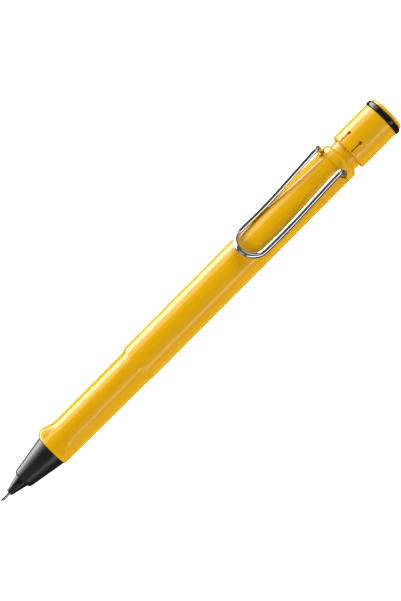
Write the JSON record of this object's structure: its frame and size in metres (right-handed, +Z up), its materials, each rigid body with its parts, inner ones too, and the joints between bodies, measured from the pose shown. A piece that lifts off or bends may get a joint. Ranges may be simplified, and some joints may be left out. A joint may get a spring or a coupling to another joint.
{
  "type": "mechanical pencil",
  "caption": "Push-button mechanical pencil: faceted round barrel with finger flats, bent wire clip, tapered dark front section, thin guide pipe and a capped push button over an eraser.",
  "frame": {"origin": "under the middle of the pencil's box, on the surface that it lies on", "axes": "+X along the pencil from the lead's point towards the push button, +Z up through the clip, which faces straight up"},
  "size_m": [0.138, 0.011, 0.0136],
  "materials": {
    "yellow_plastic": "glossy moulded",
    "matte_black_plastic": "fine satin texture",
    "gloss_black_plastic": "polished",
    "chrome_wire": "bright polished",
    "steel": "drawn",
    "brass": "turned",
    "black_rubber": "moulded",
    "graphite": "dark grey polymer lead with a dull sheen",
    "clear_plastic": "frosted",
    "eraser_white": "soft matt"
  },
  "bodies": {
    "casing": {"barrel": "yellow_plastic", "collar": "yellow_plastic", "nose_cone": "gloss_black_plastic", "guide_pipe": "steel", "lead_retainer": "black_rubber", "clutch_housing": "brass", "mechanism_sleeve": "matte_black_plastic", "return_spring": "steel"},
    "clip": {"clip_wire": "chrome_wire"},
    "seal": {"section_seal": "black_rubber"},
    "section": {"front_section": "matte_black_plastic"},
    "carriage": {"chuck": "brass", "tube_coupler": "clear_plastic", "lead_tube": "clear_plastic", "eraser_holder": "steel", "spare_lead_1": "graphite", "spare_lead_2": "graphite", "spare_lead_3": "graphite"},
    "clutch": {"clutch_ring": "brass"},
    "lead": {"writing_lead": "graphite"},
    "button": {"push_button": "yellow_plastic", "button_ring": "gloss_black_plastic", "end_disc": "yellow_plastic"},
    "eraser_unit": {"eraser": "eraser_white", "cleaning_needle": "steel"}
  },
  "joints": [
    {"name": "button_press", "type": "slide", "parent": "casing", "child": "carriage", "axis": [-1, 0, 0], "range_m": [0, 0.002], "stiffness_N_per_m": 900, "springref_m": -0.001, "deforming": ["return_spring"]},
    {"name": "lead_feed", "type": "slide", "parent": "casing", "child": "lead", "axis": [-1, 0, 0], "range_m": [0, 0.0007]},
    {"name": "clutch_travel", "type": "slide", "parent": "casing", "child": "clutch", "axis": [-1, 0, 0], "range_m": [0, 0.0007]},
    {"name": "button_pull", "type": "slide", "parent": "carriage", "child": "button", "axis": [1, 0, 0], "range_m": [0, 0.05]},
    {"name": "eraser_pull", "type": "slide", "parent": "carriage", "child": "eraser_unit", "axis": [1, 0, 0], "range_m": [0, 0.025]},
    {"name": "section_travel", "type": "slide", "parent": "casing", "child": "seal", "axis": [-1, 0, 0], "range_m": [0, 0.003]},
    {"name": "section_turn", "type": "hinge", "parent": "seal", "child": "section", "pos_m": [-0.0509, 0, 0.0056], "axis": [-1, 0, 0], "range_deg": [0, 1440]},
    {"name": "clip_flex", "type": "hinge", "parent": "casing", "child": "clip", "pos_m": [0.0498, 0, 0.0086], "axis": [0, 1, 0], "range_deg": [0, 5], "stiffness_Nm_per_rad": 1}
  ],
  "couplings": [
    {"joint": "lead_feed", "follows": "button_press", "ratio": 0.35},
    {"joint": "clutch_travel", "follows": "button_press", "ratio": 0.35},
    {"joint": "eraser_pull", "follows": "button_pull", "ratio": 0.5},
    {"joint": "section_turn", "follows": "section_travel", "rad_per_m": 8377.6}
  ]
}
